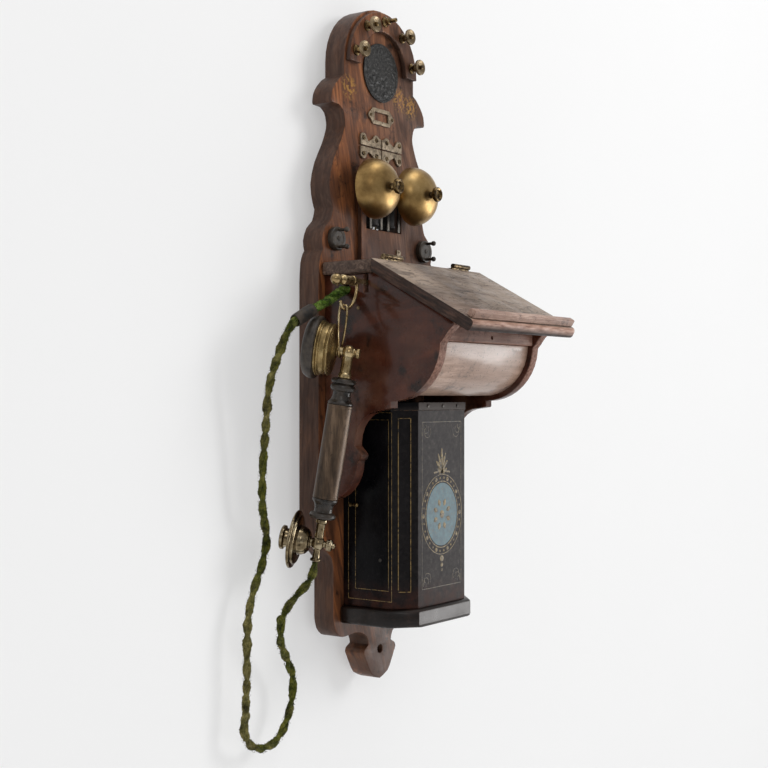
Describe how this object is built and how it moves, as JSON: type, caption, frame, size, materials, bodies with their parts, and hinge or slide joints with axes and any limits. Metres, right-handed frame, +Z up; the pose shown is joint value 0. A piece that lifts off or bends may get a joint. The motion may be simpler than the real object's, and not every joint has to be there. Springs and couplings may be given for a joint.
{
  "type": "wall crank telephone",
  "caption": "Antique wooden wall telephone with a magneto crank, twin bells, sloping desk lid, hanging handset on a hook lever and a battery box below.",
  "frame": {"origin": "on the wall plane (back face of the backboard), on the centre line, halfway up the backboard", "axes": "+X right seen from the front, +Y into the wall, +Z up"},
  "size_m": [0.3532, 0.2036, 0.7438],
  "materials": {
    "wood_board": "oiled walnut, orange-brown with worn edges",
    "wood_desk": "dark red mahogany, glossy varnish",
    "wood_dark": "dark stained moulding",
    "wood_lid": "worn, cracked varnish",
    "black_metal": "japanned black with thin gold lines",
    "ebonite": "dark hard rubber",
    "tube_cover": "worn dark brown lacquer",
    "brass": "aged brass",
    "nickel": "worn nickel plate over brass",
    "iron": "dark magnet steel",
    "coil_cloth": "dark varnished winding",
    "cord_cloth": "green cotton braid, two strands twisted",
    "cell_paper": "waxed paper sleeve"
  },
  "bodies": {
    "root": {"backboard": "wood_board", "terminal_arch": "wood_board", "ringer_surround": "wood_board", "side_panel_left": "wood_desk", "side_panel_right": "wood_desk", "curved_front": "wood_desk", "lock_rail": "wood_desk", "desk_cap": "wood_dark", "desk_floor": "wood_dark", "base_plate": "wood_dark", "medallion_disc": "black_metal", "battery_cover": "black_metal", "plug_socket_left": "ebonite", "plug_socket_right": "ebonite", "cord_sleeve": "ebonite", "name_card_frame": "nickel", "arrester_plate_upper_left": "nickel", "arrester_plate_upper_right": "nickel", "arrester_plate_lower_left": "nickel", "arrester_plate_lower_right": "nickel", "bell_gong_left": "brass", "bell_gong_right": "brass", "bell_post_left": "brass", "bell_post_right": "brass", "lid_hinge_left": "brass", "lid_hinge_right": "brass", "magneto_frame": "brass", "hook_bracket": "brass", "terminal_post_far_left": "brass", "terminal_post_left": "brass", "terminal_post_middle": "brass", "terminal_post_right": "brass", "terminal_post_far_right": "brass", "magneto_magnets": "iron", "ringer_magnet": "coil_cloth", "cord": "cord_cloth", "battery_cell": "cell_paper"},
    "desk_lid_leaf": {"desk_lid": "wood_lid", "paper_rail": "wood_dark"},
    "crank": {"crank_shaft": "brass", "crank_arm": "nickel"},
    "crank_grip": {"crank_handle": "ebonite"},
    "armature": {"magneto_armature": "iron"},
    "hook": {"hook_lever": "nickel"},
    "handset": {"handset_tube": "tube_cover", "collar_upper": "ebonite", "collar_lower": "ebonite", "receiver_yoke": "nickel", "receiver_body": "brass", "ear_cap": "ebonite", "transmitter_yoke": "nickel", "transmitter_body": "nickel", "mouthpiece": "nickel", "hanger_loop": "nickel"},
    "hammer": {"ringer_hammer": "brass"},
    "latch": {"cover_latch": "brass"},
    "nut_far_left": {"terminal_nut_far_left": "brass"},
    "nut_left": {"terminal_nut_left": "brass"},
    "nut_right": {"terminal_nut_right": "brass"},
    "nut_far_right": {"terminal_nut_far_right": "brass"}
  },
  "joints": [
    {"name": "lid_hinge", "type": "hinge", "parent": "root", "child": "desk_lid_leaf", "pos_m": [0, -0.0853, 0.0833], "axis": [-1, 0, 0], "range_deg": [0, 105]},
    {"name": "crank_spin", "type": "hinge", "parent": "root", "child": "crank", "pos_m": [0.1, -0.1, 0], "axis": [1, 0, 0], "continuous": true},
    {"name": "crank_grip_spin", "type": "hinge", "parent": "crank", "child": "crank_grip", "pos_m": [0.125, -0.07999, 0.04495], "axis": [1, 0, 0], "continuous": true},
    {"name": "armature_spin", "type": "hinge", "parent": "root", "child": "armature", "pos_m": [0, -0.06296, -0.014], "axis": [1, 0, 0], "continuous": true},
    {"name": "handset_lift", "type": "slide", "parent": "root", "child": "handset", "axis": [0, 0, 1], "range_m": [0, 0.0096], "deforming": ["cord", "cord_sleeve"]},
    {"name": "hook_swing", "type": "hinge", "parent": "root", "child": "hook", "pos_m": [-0.055, -0.0756, 0.057], "axis": [0, 1, 0], "range_deg": [0, 7.6]},
    {"name": "hammer_swing", "type": "hinge", "parent": "root", "child": "hammer", "pos_m": [0, -0.016, 0.114], "axis": [0, 1, 0], "range_deg": [-1.6, 1.6]},
    {"name": "latch_turn", "type": "hinge", "parent": "root", "child": "latch", "pos_m": [-0.0643, -0.0415, -0.163], "axis": [-1, 0, 0], "range_deg": [0, 90]},
    {"name": "nut_turn_far_left", "type": "hinge", "parent": "root", "child": "nut_far_left", "pos_m": [-0.04969, -0.0403, 0.29847], "axis": [0, -1, 0], "continuous": true},
    {"name": "nut_turn_left", "type": "hinge", "parent": "root", "child": "nut_left", "pos_m": [-0.0314, -0.0403, 0.32719], "axis": [0, -1, 0], "continuous": true},
    {"name": "nut_turn_right", "type": "hinge", "parent": "root", "child": "nut_right", "pos_m": [0.0314, -0.0403, 0.32719], "axis": [0, -1, 0], "continuous": true},
    {"name": "nut_turn_far_right", "type": "hinge", "parent": "root", "child": "nut_far_right", "pos_m": [0.04969, -0.0403, 0.29847], "axis": [0, -1, 0], "continuous": true}
  ],
  "couplings": [
    {"joint": "armature_spin", "follows": "crank_spin", "ratio": -5},
    {"joint": "hook_swing", "follows": "handset_lift", "rad_per_m": 13.635}
  ]
}
